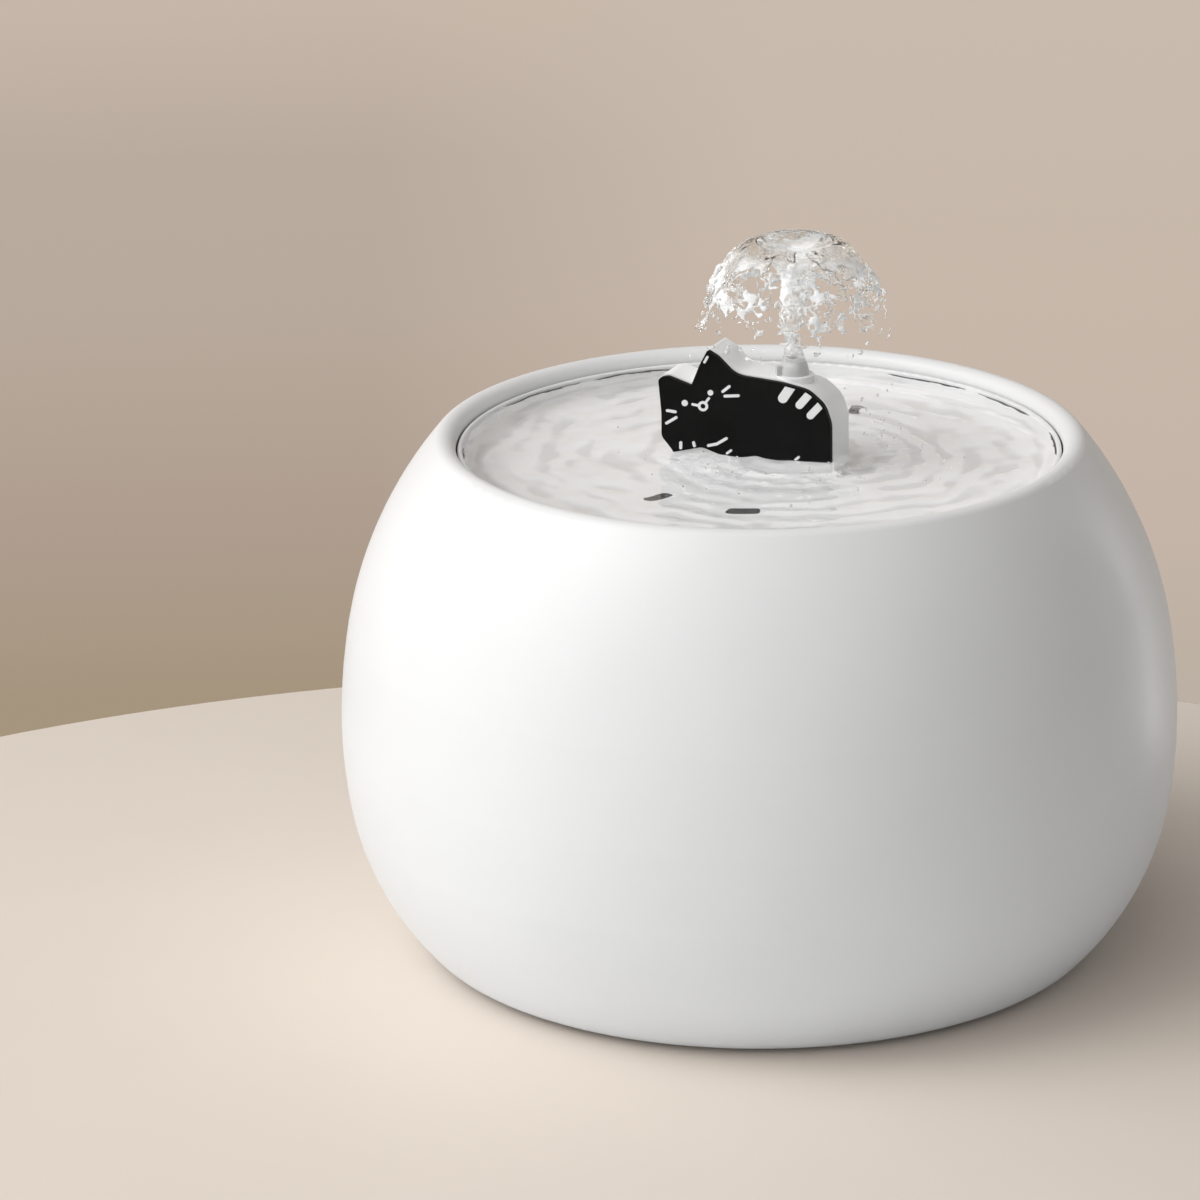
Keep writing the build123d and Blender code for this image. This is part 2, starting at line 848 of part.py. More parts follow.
def pump_cover():
    """The front of the pump, with slots for the water and a notch round the spigot."""
    inside = cover_front + cover_wall
    body = pump_box((cover_front, pump_front)) - pump_box((inside, pump_front), cover_wall)
    half = spigot_radius + spigot_clearance
    top = pump_high + through
    body -= block((nozzle_x - half, nozzle_x + half), (nozzle_y, pump_front), (axis_height, top))
    body -= hub_place() * disc(half, axis_height, top)
    for i in range(cover_slots):
        x = (i - (cover_slots - 1) / 2) * cover_slot_pitch
        body -= lying(cover_slot(), x, axis_height + cover_slot_rise)
    body -= lying(disc(dial_pin_radius + running_gap, cover_front, inside), dial_x, dial_height)
    return body - dial_ports(cover_front, inside)


def dial_ports(start, end):
    left = lying(disc(dial_port, start, end), dial_x - dial_port_circle, dial_height)
    right = lying(disc(dial_port, start, end), dial_x + dial_port_circle, dial_height)
    return left + right


def flow_dial():
    front = cover_front - dial_thickness
    body = lying(disc(dial_radius, front, cover_front), dial_x, dial_height)
    body -= dial_ports(front, cover_front)
    body += lying(disc(dial_pin_radius, cover_front, cover_front + cover_wall), dial_x, dial_height)
    half = dial_grip_width / 2
    reach = dial_radius - dial_grip_inset
    grip = block((-half, half), (front - dial_grip, front), (-reach, reach))
    return body + Pos(dial_x, 0, dial_height) * grip


def pump_sponge():
    start = cover_front + cover_wall
    return pump_box((start, start + sponge_thickness), cover_wall + sponge_gap)


# ---------------------------------------------------------------- power inlet and lead
def power_inlet():
    at = inlet_height
    body = lying(disc(inlet_radius, inlet_inner, inlet_outer), 0, at)
    body += lying(disc(inlet_flange_radius, inlet_outer, inlet_outer + inlet_flange), 0, at)
    mouth = inlet_outer + inlet_flange
    return body - lying(disc(socket_radius, mouth - socket_depth, mouth), 0, at)


def inlet_contact():
    floor = inlet_outer + inlet_flange - socket_depth
    return lying(disc(contact_radius, floor, floor + contact_length), 0, inlet_height)


def inlet_gasket():
    inner = inlet_radius + inlet_gap
    return lying(ring(inlet_flange_radius - inlet_gap, inner, spot_face, inlet_outer), 0, inlet_height)


def inlet_nut():
    start = boss_face - nut_thickness
    nut = Pos(0, 0, start) * extrude(RegularPolygon(nut_across / 2, 6, major_radius=False), nut_thickness)
    return lying(nut - disc(inlet_radius + inlet_gap, start, boss_face), 0, inlet_height)


def lead_grommet():
    flange_end = pump_back + grommet_flange
    barrel = ring(grommet_radius, lead_radius, pump_back - pump_wall, pump_back)
    flange = ring(grommet_radius + grommet_flange_reach, lead_radius, pump_back, flange_end)
    nose = ring(grommet_radius - grommet_nose_step, lead_radius, flange_end, pump_back + grommet_length)
    return along_lead(barrel + flange + nose)


def pump_lead():
    """A cord through four points, each bend as wide as its shorter straight run allows."""
    points = [
        (lead_x, lead_start, lead_height),
        (lead_x, lead_start + lead_run_from_pump, lead_height),
        (0, inlet_inner - lead_run_to_inlet, inlet_height),
        (0, inlet_inner, inlet_height),
    ]
    corners = [Vector(*point) for point in points]
    runs = [(b - a).length for a, b in zip(corners, corners[1:])]
    radii = []
    for i in range(1, len(corners) - 1):
        turn = radians((corners[i] - corners[i - 1]).get_angle(corners[i + 1] - corners[i]))
        radii.append(lead_bend_share * min(runs[i - 1], runs[i]) / tan(turn / 2))
    path = FilletPolyline(*points, radius=radii)
    section = Plane(origin=path @ 0, z_dir=path % 0) * Circle(lead_radius)
    lead = sweep(section, path=path)
    print("lead radii", [round(radius, 1) for radius in radii], "length", round(path.length, 1))
    print("lead volume over section times length", round(lead.volume / (section.area * path.length), 4))
    return lead


# ---------------------------------------------------------------- write the nodes
def build():
    os.makedirs("parts", exist_ok=True)
    save("bowl", bowl())
    save("foot_pads", *foot_pads())
    save("tray", tray())
    save("tray_seal", tray_seal())
    save("water_pool", water_pool())
    save("filter_basket", filter_basket())
    save("filter_carbon", filter_layer(filter_low + filter_wall, cotton_low))
    save("filter_cotton", filter_layer(cotton_low, lid_low))
    save("filter_lid", filter_lid())
    save("island_shell", island_shell())
    save("face_plate", face_plate())
    save("face_marks", *face_marks())
    save("nozzle", nozzle())
    save("water_jet", water_jet())
    save("pump_case", pump_case())
    save("pump_potting", pump_potting())
    save("stator_core", stator_core())
    save("stator_coil", stator_coil())
    save("driver_board", driver_board())
    save("volute_cover", volute_cover())
    save("shaft_bushings", *shaft_bushings())
    save("impeller_shaft", impeller_shaft())
    save("rotor_magnet", rotor_magnet())
    save("impeller", impeller())
    save("suction_cups", *suction_cups())
    save("riser_tube", riser_tube())
    save("pump_cover", pump_cover())
    save("pump_sponge", pump_sponge())
    save("flow_dial", flow_dial())
    save("power_inlet", power_inlet())
    save("inlet_contact", inlet_contact())
    save("inlet_gasket", inlet_gasket())
    save("inlet_nut", inlet_nut())
    save("lead_grommet", lead_grommet())
    save("pump_lead", pump_lead())


build()
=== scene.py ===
import math
import random

import bmesh
import bpy
from mathutils import Euler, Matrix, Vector, noise


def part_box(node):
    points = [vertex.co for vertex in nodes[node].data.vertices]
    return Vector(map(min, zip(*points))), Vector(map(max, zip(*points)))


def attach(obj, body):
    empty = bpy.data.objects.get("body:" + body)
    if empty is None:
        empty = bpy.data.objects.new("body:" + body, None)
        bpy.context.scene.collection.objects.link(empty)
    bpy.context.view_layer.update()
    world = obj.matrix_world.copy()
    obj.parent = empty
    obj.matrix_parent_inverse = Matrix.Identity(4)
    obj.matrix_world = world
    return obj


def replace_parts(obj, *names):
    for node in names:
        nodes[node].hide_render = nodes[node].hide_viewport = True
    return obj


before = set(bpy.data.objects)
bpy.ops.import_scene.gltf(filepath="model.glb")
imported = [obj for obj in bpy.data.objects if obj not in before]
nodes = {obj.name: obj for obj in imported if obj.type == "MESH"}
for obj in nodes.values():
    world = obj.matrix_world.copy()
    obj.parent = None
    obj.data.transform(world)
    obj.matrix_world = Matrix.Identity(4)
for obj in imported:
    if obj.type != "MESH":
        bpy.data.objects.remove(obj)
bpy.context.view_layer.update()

MM = 0.001
random.seed(7)

# ---------------------------------------------------------------- sizes, in metres
IMAGE_SIZE = 1200  # pixels each way
FOCAL_PIXELS = 6191.6
OBJECT_COLUMN = 759.6  # the pixel column of the bowl's axis
CAMERA_DISTANCE = 1.400
CAMERA_HEIGHT = 0.5518
CAMERA_TILT = math.radians(18.475)
SENSOR = 36.0  # Blender's usual sensor width, in mm

TABLE_CENTRE = Vector((-16.8, -152.8, -0.02)) * MM  # a hair under the foot pads
TABLE_RADIUS = 347.0 * MM
TABLE_EDGE = 4 * MM
TABLE_THICKNESS = 18 * MM
TABLE_COLOUR = Vector((0.815, 0.723, 0.637))
TABLE_BOUNCE = (0.86, 0.86, 0.86)  # what the object gets back from it, without the tint

# the light of the room, as the side it comes from and its strength: window, front and right
ROOM_LIGHT = [((-0.9, -0.3, 0.3), 1.40), ((0.0, -0.97, 0.25), 0.08), ((0.97, 0.0, 0.25), 0.21)]
# name, azimuth, elevation, (width, height) and power of the soft lamps;
# azimuth 0 is the camera's side, and it grows towards +X
LAMPS = [
    ("key", -60, 55, (0.8, 0.8), 4.75),
    ("side", -80, 42, (0.8, 0.8), 3.7),
    ("edge", 130, -4, (0.25, 0.9), 2.1),
    ("top", 0, 86, (0.8, 0.8), 1.1),
]
LAMP_DISTANCE = 1.5
LAMP_AIM = Vector((0, 0, 80)) * MM

# the wall seen behind the table: heights and sides are parts of a view direction of length 1
WALL_TOP, WALL_FOOT = -0.225, -0.330
WALL_TURN = (-0.062, 0.0)  # from where to where the left side's colour goes over into the right side's
# the wall's colour down each side, with painted shade that grows towards the foot and is deepest on the
# left, as (share of the way from top to foot, colour)
WALL_LEFT_SHADED = [
    (0.0, (0.565, 0.468, 0.397)),
    (0.22, (0.485, 0.407, 0.342)),
    (0.44, (0.480, 0.400, 0.335)),
    (0.74, (0.429, 0.342, 0.279)),
    (1.0, (0.379, 0.302, 0.212)),
]
WALL_RIGHT_SHADED = [
    (0.0, (0.584, 0.497, 0.418)),
    (0.75, (0.558, 0.462, 0.392)),
    (1.0, (0.497, 0.434, 0.366)),
]

pool_low, pool_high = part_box("water_pool")
jet_low, jet_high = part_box("water_jet")
jet_x = (jet_low.x + jet_high.x) / 2
jet_y = (jet_low.y + jet_high.y) / 2
water_z = pool_high.z
pool_radius = pool_high.x + 0.35 * MM  # a little into the tray's wall, as water meets it
pool_floor = pool_low.z - 0.3 * MM
# the drain slots' walls reach down from the tray's floor, and are no farther out than this
SLOTS_BELOW = pool_low.z
SLOTS_WITHIN = 62 * MM


# ---------------------------------------------------------------- materials
class Finish:
    """One material: a Principled shader with procedural colour, roughness and relief in object space."""

    def __init__(self, name, **inputs):
        self.material = bpy.data.materials.new(name)
        self.material.use_nodes = True
        self.tree = self.material.node_tree
        self.shader = self.tree.nodes["Principled BSDF"]
        self.place = self.tree.nodes.new("ShaderNodeTexCoord").outputs["Object"]
        self.relief = None
        for socket, value in inputs.items():
            self.shader.inputs[socket.replace("_", " ")].default_value = value

    def add(self, kind, **settings):
        """A node, with each setting put on the socket of that name or else on the node itself."""
        node = self.tree.nodes.new("ShaderNode" + kind)
        for name, value in settings.items():
            if name in node.inputs:
                node.inputs[name].default_value = value
            else:
                setattr(node, name, value)
        return node

    def link(self, out, into):
        self.tree.links.new(out, into)

    def noise(self, size, detail=3.0, stretch=(1, 1, 1)):
        """Noise whose features are about size metres across."""
        mapping = self.add("Mapping")
        mapping.inputs["Scale"].default_value = [1 / (size * s) for s in stretch]
        self.link(self.place, mapping.inputs["Vector"])
        texture = self.add("TexNoise", Scale=1.0, Detail=detail, Roughness=0.55)
        self.link(mapping.outputs["Vector"], texture.inputs["Vector"])
        return texture.outputs["Fac"]

    def cells(self, size, feature="F1"):
        """Cells about size metres across."""
        mapping = self.add("Mapping")
        mapping.inputs["Scale"].default_value = [1 / size] * 3
        self.link(self.place, mapping.inputs["Vector"])
        texture = self.add("TexVoronoi", Scale=1.0, feature=feature)
        self.link(mapping.outputs["Vector"], texture.inputs["Vector"])
        return texture.outputs["Distance"]

    def bands(self, period, axis):
        """Stripes across an axis. At scale 1 the texture has one every pi / 10."""
        texture = self.add("TexWave", Scale=math.pi / 10 / period, bands_direction=axis)
        self.link(self.place, texture.inputs["Vector"])
        return texture.outputs["Fac"]

    def spread(self, source, low, high, start=0.3, end=0.7):
        """The source's values from start to end, drawn out over low to high."""
        node = self.add("MapRange")
        node.inputs["From Min"].default_value = start
        node.inputs["From Max"].default_value = end
        node.inputs["To Min"].default_value = low
        node.inputs["To Max"].default_value = high
        self.link(source, node.inputs["Value"])
        return node.outputs["Result"]

    def colour(self, source, first, second, start=0.35, end=0.65):
        """Goes from the first colour to the second as the source goes from start to end."""
        ramp = self.add("ValToRGB")
        ramp.color_ramp.elements[0].position = start
        ramp.color_ramp.elements[0].color = (*first, 1)
        ramp.color_ramp.elements[1].position = end
        ramp.color_ramp.elements[1].color = (*second, 1)
        self.link(source, ramp.inputs["Fac"])
        self.link(ramp.outputs["Color"], self.shader.inputs["Base Color"])
        return self

    def rough(self, source, low, high):
        self.link(self.spread(source, low, high), self.shader.inputs["Roughness"])
        return self

    def bump(self, source, height, strength=1.0):
        """Relief of the given height in metres, on top of any before it."""
        node = self.add("Bump", Strength=strength, Distance=height)
        self.link(source, node.inputs["Height"])
        if self.relief:
            self.link(self.relief, node.inputs["Normal"])
        self.relief = node.outputs["Normal"]
        self.link(self.relief, self.shader.inputs["Normal"])
        return self

    def pass_lamps(self, share):
        """Lets this share of the lamps' light shine straight through, as clear water does."""
        through = self.add("BsdfTransparent", Color=(share, share, share, 1))
        mix = self.add("MixShader")
        self.link(self.add("LightPath").outputs["Is Shadow Ray"], mix.inputs[0])
        self.link(self.shader.outputs[0], mix.inputs[1])
        self.link(through.outputs[0], mix.inputs[2])
        self.link(mix.outputs[0], self.tree.nodes["Material Output"].inputs["Surface"])
        return self


def moulded(name, first, second, roughness=(0.35, 0.5), grain=0.4 * MM, relief=0.015 * MM, **inputs):
    """Moulded plastic or rubber: faint mottling, a fine grain and slow waviness."""
    finish = Finish(name, **inputs)
    finish.colour(finish.noise(9 * MM), first, second)
    finish.rough(finish.noise(5 * MM), *roughness)
    finish.bump(finish.noise(14 * MM, 1.0), relief * 2)
    finish.bump(finish.noise(grain), relief)
    return finish


def grey(value, warm=0.0):
    """A grey, drawn towards red where warm is over 0."""
    return (value + warm, value, value - warm)


def glaze():
    """The bowl's satin white skin."""
    finish = Finish("glaze", IOR=1.5, Coat_Weight=0.12, Coat_Roughness=0.25)
    finish.colour(finish.noise(45 * MM, 2.0), grey(0.81), grey(0.83))
    finish.rough(finish.noise(25 * MM), 0.38, 0.48)
    finish.bump(finish.noise(22 * MM, 1.0), 0.10 * MM)
    finish.bump(finish.noise(1.6 * MM), 0.006 * MM)
    return finish


def laminated_steel():
    """A stack of thin sheets, seen as fine lines."""
    finish = Finish("laminated_steel", Metallic=1.0)
    lines = finish.bands(0.9 * MM, "Y")
    finish.colour(lines, grey(0.22), grey(0.5), 0.2, 0.8)
    finish.rough(finish.noise(1 * MM), 0.3, 0.5)
    finish.bump(lines, 0.05 * MM)
    return finish


def copper_winding():
    """Lacquered wire, turn beside turn."""
    finish = Finish("copper_winding", Metallic=0.8)
    turns = finish.bands(0.5 * MM, "X")
    finish.colour(turns, (0.30, 0.10, 0.03), (0.75, 0.33, 0.13), 0.1, 0.8)
    finish.rough(finish.noise(2 * MM), 0.25, 0.4)
    finish.bump(turns, 0.12 * MM)
    return finish


def felt():
    finish = Finish("felt", Sheen_Weight=0.4)
    finish.colour(finish.noise(0.9 * MM, 6.0, (1, 1, 0.4)), grey(0.74), grey(0.92, 0.004))
    finish.rough(finish.noise(1 * MM), 0.85, 0.98)
    finish.bump(finish.noise(0.6 * MM, 8.0), 0.35 * MM)
    return finish


def granules(name, first, second, size, relief, roughness):
    """Grains or pores about size metres across; the first colour is in the gaps between them."""
    finish = Finish(name)
    cells = finish.cells(size)
    finish.colour(cells, second, first, 0.1, 0.7)
    finish.rough(finish.noise(size), *roughness)
    finish.bump(cells, -relief)
    return finish


def circuit_board():
    """Green lacquer with a net of tracks."""
    finish = Finish("circuit_board", Coat_Weight=0.3)
    tracks = finish.cells(2.2 * MM, "DISTANCE_TO_EDGE")
    finish.colour(tracks, (0.35, 0.30, 0.08), (0.01, 0.10, 0.04), 0.02, 0.06)
    finish.rough(finish.noise(2 * MM), 0.3, 0.5)
    finish.bump(tracks, 0.05 * MM)
    return finish


def metal(name, tone, roughness):
    finish = Finish(name, Metallic=1.0)
    finish.colour(finish.noise(2 * MM), grey(tone * 0.92), grey(tone))
    finish.rough(finish.noise(1.5 * MM), *roughness)
    finish.bump(finish.noise(0.3 * MM, 2.0), 0.003 * MM)
    return finish


CLEARING = 4 * MM  # how far up the milky water takes to get clear
# heights over the level across which the pool's painted caustic light goes from trough grey to crest
# white
TROUGH, CREST = -0.30 * MM, 0.14 * MM
JET_PASSES, POOL_PASSES = 0.85, 0.95  # the share of the lamps' light that water lets through


def water(name, clearness, clear_from, relief=0.0):
    """Water that is clear above a height, and below it clear and milky in patches, where it is torn."""
    finish = Finish(name, IOR=1.33, Subsurface_Weight=0.6, Subsurface_Scale=2 * MM)
    finish.shader.inputs["Subsurface Radius"].default_value = (1, 1, 1)
    finish.colour(finish.noise(12 * MM), (0.94, 0.95, 0.95), (0.99, 0.985, 0.97))
    finish.rough(finish.noise(8 * MM), 0.02, 0.06)
    split = finish.add("SeparateXYZ")
    finish.link(finish.place, split.inputs[0])
    crown = finish.spread(split.outputs["Z"], 0, 1, clear_from, clear_from + CLEARING)
    patches = finish.spread(finish.noise(6 * MM), *clearness, 0.42, 0.55)
    larger = finish.add("Math", operation="MAXIMUM")
    finish.link(crown, larger.inputs[0])
    finish.link(patches, larger.inputs[1])
    finish.link(larger.outputs[0], finish.shader.inputs["Transmission Weight"])
    if relief:
        finish.bump(finish.noise(1.2 * MM, 2.0), relief)
    return finish.pass_lamps(JET_PASSES)


def pool_water(name, dim, bright, clearness):
    """Water over a white tray, with painted caustic light: greyer in its troughs than on its crests, as
    if the ripples focused light on the tray.
    """
    finish = Finish(name, IOR=1.33, Transmission_Weight=clearness)
    split = finish.add("SeparateXYZ")
    finish.link(finish.place, split.inputs[0])
    height = finish.spread(split.outputs["Z"], 0, 1, water_z + TROUGH, water_z + CREST)
    # painted caustic light and shade: the colour follows the surface's height
    finish.colour(height, grey(dim), grey(bright), 0.2, 0.65)
    finish.rough(finish.noise(8 * MM), 0.02, 0.06)
    return finish.pass_lamps(POOL_PASSES if clearness else 0.0)


def finish_cad_nodes():
    """Gives every CAD node that stays visible its own procedural material."""
    black_plastic = moulded("black_plastic", grey(0.018), grey(0.03), relief=0.02 * MM)
    white_plastic = moulded("white_plastic", grey(0.82), grey(0.86, 0.003), (0.3, 0.42))
    milky = moulded("milky_silicone", grey(0.68), grey(0.78), (0.3, 0.45), Subsurface_Weight=0.2)
    black_rubber = moulded("black_rubber", grey(0.022), grey(0.04), (0.6, 0.8), 0.25 * MM, 0.02 * MM)
    pump_plastic = moulded("pump_plastic", grey(0.045), grey(0.065), (0.4, 0.55), relief=0.025 * MM)
    filter_plastic = moulded("filter_plastic", grey(0.74), grey(0.80), (0.4, 0.5))
    plate_black = moulded(
        "plate_black", grey(0.004), grey(0.006), (0.5, 0.6), 0.3 * MM, 0.008 * MM, Specular_IOR_Level=0.12
    )
    finishes = {
        "bowl": glaze(),
        "foot_pads": moulded("grey_rubber", grey(0.26), grey(0.34), (0.65, 0.85), 0.3 * MM, 0.03 * MM),
        "power_inlet": black_plastic,
        "inlet_nut": black_plastic,
        "inlet_contact": metal("contact_metal", 0.75, (0.12, 0.25)),
        "inlet_gasket": moulded("grey_silicone", grey(0.45), grey(0.52), (0.45, 0.6)),
        "tray_seal": moulded("seal_silicone", grey(0.55), grey(0.62), (0.45, 0.6)),
        "pump_lead": moulded("lead_sheath", grey(0.015), grey(0.03), (0.35, 0.5)),
        "lead_grommet": black_rubber,
        "shaft_bushings": black_rubber,
        "pump_case": pump_plastic,
        "volute_cover": pump_plastic,
        "pump_cover": pump_plastic,
        "flow_dial": moulded("dial_plastic", grey(0.07), grey(0.1), (0.35, 0.5)),
        "pump_potting": moulded("potting_resin", grey(0.012), grey(0.02), (0.1, 0.25)),
        "stator_core": laminated_steel(),
        "stator_coil": copper_winding(),
        "driver_board": circuit_board(),
        "impeller_shaft": metal("shaft_steel", 0.7, (0.1, 0.2)),
        "suction_cups": milky,
        "riser_tube": milky,
        "pump_sponge": granules("sponge", grey(0.06), grey(0.012), 1.1 * MM, 0.5 * MM, (0.85, 0.98)),
        "rotor_magnet": metal("ferrite", 0.14, (0.45, 0.6)),
        "impeller": moulded("impeller_plastic", grey(0.7), grey(0.78), (0.25, 0.4)),
        "tray": white_plastic,
        "filter_basket": filter_plastic,
        "filter_lid": moulded("lid_plastic", grey(0.028), grey(0.04), (0.4, 0.5)),
        "filter_cotton": felt(),
        "filter_carbon": granules("carbon", grey(0.05), grey(0.008), 1.6 * MM, 0.6 * MM, (0.5, 0.8)),
        # the island's white is lighter than the tray's: partly its own colour, partly painted light for
        # its shaded right side
        "island_shell": moulded("island_white", grey(0.90), grey(0.93, 0.002), (0.4, 0.52)),
        "face_plate": plate_black,
        "face_marks": moulded("marks_white", grey(0.84), grey(0.88), (0.45, 0.6)),
        "nozzle": moulded("nozzle_plastic", grey(0.52), grey(0.6), (0.3, 0.42)),
    }
    for name, finish in finishes.items():
        mesh = nodes[name].data
        mesh.materials.clear()
        mesh.materials.append(finish.material)


def shade_slots(finish):
    """Darkens the cut walls of the holes in the tray's floor, which lie in shade under the water."""
    tray = nodes["tray"]
    tray.data.materials.append(finish.material)
    shade = len(tray.data.materials) - 1
    for face in tray.data.polygons:
        centre = tray.matrix_world @ face.center
        upright = abs(face.normal.z) < 0.3
        if upright and centre.z < SLOTS_BELOW and math.hypot(centre.x, centre.y) < SLOTS_WITHIN:
            face.material_index = shade


# ---------------------------------------------------------------- mesh helpers
def piece(name, vertices, faces, body, *finishes, chosen=None):
    """A smooth closed mesh; chosen gives the number of each face's finish."""
    mesh = bpy.data.meshes.new(name)
    mesh.from_pydata(vertices, [], faces)
    mesh.validate()
    mesh.shade_smooth()
    for finish in finishes:
        mesh.materials.append(finish.material)
    if chosen:
        mesh.polygons.foreach_set("material_index", chosen)
    obj = bpy.data.objects.new(name, mesh)
    bpy.context.scene.collection.objects.link(obj)
    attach(obj, body)
    return obj


def smooth_step(low, high, value):
    """0 under low, 1 over high and a smooth rise between them."""
    t = min(max((value - low) / (high - low), 0.0), 1.0)
    return t * t * (3 - 2 * t)


def fractal(point, size, octaves=3):
    """Smooth random height about 0, with features about size metres across."""
    return noise.fractal(point / size, 0.6, 2.0, octaves)


# ---------------------------------------------------------------- water in the tray
FALL_RADIUS = 23.0 * MM  # where the bell's water lands, round the jet
SPLASH_WIDTH, SPLASH_HEIGHT = 5 * MM, 0.55 * MM
RIPPLE_LENGTH, RIPPLE_HEIGHT = 7.5 * MM, 0.36 * MM
RIPPLE_REACH = 120 * MM
RIPPLE_WOBBLE = 3.2 * MM  # how far the rings stray from circles
SWELL_LENGTH, SWELL_HEIGHT = 15 * MM, 0.30 * MM
ECHO_LENGTH, ECHO_HEIGHT, ECHO_REACH = 5.2 * MM, 0.10 * MM, 14 * MM  # the rings thrown back by the wall
MENISCUS_WIDTH, MENISCUS_HEIGHT = 1.1 * MM, 0.35 * MM
# the front drain slots, as share of the filter's radius and angle
FRONT_SLOTS = [(0.647, -95.6), (0.612, -130.2)]
BENT_VIEW = 0.95  # how much nearer the camera sees the floor, as a share of the water's depth
STILL_RADIUS, LIVELY_RADIUS = 4 * MM, 11 * MM
# where the water's edge gets painted shade, dark strokes that stand in for what the meniscus bends into
# view: first angle, last angle, width in mm
PAINTED_EDGE_STROKES = [
    (179, 190, 0.8),
    (128, 154, 0.9),
    (104, 126, 1.2),
    (44, 64, 1.1),
    (22, 41, 1.5),
    (-5, 10, 0.9),
]


def over_slots():
    """Where the camera looks through the surface at the front drain slots."""
    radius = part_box("filter_basket")[1].x
    nearer = BENT_VIEW * (water_z - pool_low.z)
    turned = [(share * radius, math.radians(angle)) for share, angle in FRONT_SLOTS]
    return [(r * math.cos(a), r * math.sin(a) - nearer) for r, a in turned]


STILL_PLACES = over_slots()


def liveliness(x, y):
    """How freely the water ripples: 1 almost everywhere, and little over the front drain slots."""
    away = min(math.hypot(x - a, y - b) for a, b in STILL_PLACES)
    return 0.15 + 0.85 * smooth_step(STILL_RADIUS, LIVELY_RADIUS, away)


def ripple(x, y):
    """Height of the water's surface over its level."""
    point = Vector((x, y, 0.013))  # a level slice through the noise
    elsewhere = point + Vector((0.3, 0, 0))
    away = math.hypot(x - jet_x, y - jet_y)
    wobble = RIPPLE_WOBBLE * fractal(point, 22 * MM)
    rings = math.sin(2 * math.pi * (away + wobble) / RIPPLE_LENGTH)
    strength = RIPPLE_HEIGHT * math.exp(-max(away - FALL_RADIUS, 0) / RIPPLE_REACH)
    strength *= 0.35 + 0.65 * smooth_step(-0.3, 0.4, fractal(elsewhere, 20 * MM))
    inside = smooth_step(6 * MM, FALL_RADIUS, away)
    height = rings * strength * (0.3 + 0.7 * inside)
    splash = math.exp(-(((away - FALL_RADIUS) / SPLASH_WIDTH) ** 2))
    height += SPLASH_HEIGHT * splash * fractal(point, 4.5 * MM, 4)
    height += SWELL_HEIGHT * fractal(point, SWELL_LENGTH)
    height *= liveliness(x, y)
    from_wall = pool_radius - math.hypot(x, y)
    echo = math.sin(2 * math.pi * from_wall / ECHO_LENGTH) * math.exp(-from_wall / ECHO_REACH)
    return height + ECHO_HEIGHT * echo + MENISCUS_HEIGHT * math.exp(-from_wall / MENISCUS_WIDTH)


def in_painted_stroke(angle, from_wall):
    """Whether a place at an angle, in degrees, and a distance from the wall lies in a stroke of painted
    shade.
    """
    for first, last, width in PAINTED_EDGE_STROKES:
        share = (angle - first) / (last - first)
        if 0 < share < 1:
            ragged = 0.75 + 0.5 * noise.noise(Vector((angle / 3.0, 0, 2.5)))
            return from_wall < width * MM * math.sin(math.pi * share) ** 0.5 * ragged
    return False


def water_surface(clear, dark):
    """A closed body of water with a rippled top, whose rings lie closer towards the wall, and with
    strokes of painted shade along its edge.
    """
    rings, sectors, crowding = 200, 480, 1.12
    vertices = [(0, 0, water_z + ripple(0, 0))]
    radii = [pool_radius * (1 - (1 - i / rings) ** crowding) for i in range(rings + 1)]
    for radius in radii[1:]:
        for k in range(sectors):
            angle = 2 * math.pi * k / sectors
            x, y = radius * math.cos(angle), radius * math.sin(angle)
            vertices.append((x, y, water_z + ripple(x, y)))
    faces = [(0, 1 + k, 1 + (k + 1) % sectors) for k in range(sectors)]
    chosen = [0] * sectors
    for i in range(rings - 1):
        a, b = 1 + i * sectors, 1 + (i + 1) * sectors
        from_wall = pool_radius - (radii[i + 1] + radii[i + 2]) / 2
        for k in range(sectors):
            n = (k + 1) % sectors
            faces.append((a + k, b + k, b + n, a + n))
            angle = 360 * (k + 0.5) / sectors
            # faces in a stroke take the dark finish: painted shade at the water's edge
            in_painted_shade = in_painted_stroke(angle, from_wall) or in_painted_stroke(angle - 360, from_wall)
            chosen.append(int(in_painted_shade))
    rim = 1 + (rings - 1) * sectors
    foot = len(vertices)
    for k in range(sectors):
        x, y, _ = vertices[rim + k]
        vertices.append((x, y, pool_floor))
    for k in range(sectors):
        n = (k + 1) % sectors
        faces.append((rim + k, foot + k, foot + n, rim + n))
    faces.append(tuple(foot + k for k in reversed(range(sectors))))
    chosen += [0] * (sectors + 1)
    surface = piece("water_surface", vertices, faces, "tray", clear, dark, chosen=chosen)
    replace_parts(surface, "water_pool")


# ---------------------------------------------------------------- the jet
# radii and heights over the water, in mm: the crown, the bell from the crown down, and the
# column from the nozzle up to the crown
CROWN = (8.8, 51.6)
BELL = [CROWN, (12.0, 50.5), (16.0, 46.5), (19.4, 40.7), (21.6, 34.5), (22.6, 28.5)]
COLUMN = [
    (2.7, 22.7),
    (2.2, 24.6),
    (1.3, 27.6),
    (1.2, 29.0),
    (2.7, 31.0),
    (3.1, 34.5),
    (3.1, 41.0),
    (4.2, 44.5),
    (7.0, 48.2),
    CROWN,
]
# the dimple that closes the column within the crown
DIMPLE_RIM, DIMPLE_DEPTH, DIMPLE_FOOT = 51.75, 2.7, 49.0
DIMPLE_RINGS = 14
# the column is thin round this height, and leans to the left there
PINCH_HEIGHT, PINCH_LENGTH = 29.0, 3.2
PINCH_SHIFT = -1.2 * MM
# how far the bell and the column stay under the top of the plain jet
BELL_BELOW_TOP, COLUMN_BELOW_TOP = 0.6 * MM, 0.1 * MM
BELL_THICKNESS = 0.85 * MM
BELL_EDGE = 0.01 * MM  # half the thickness that is left at a torn edge
BELL_SWAY, BELL_ROUGHNESS = 1.7 * MM, 0.25 * MM


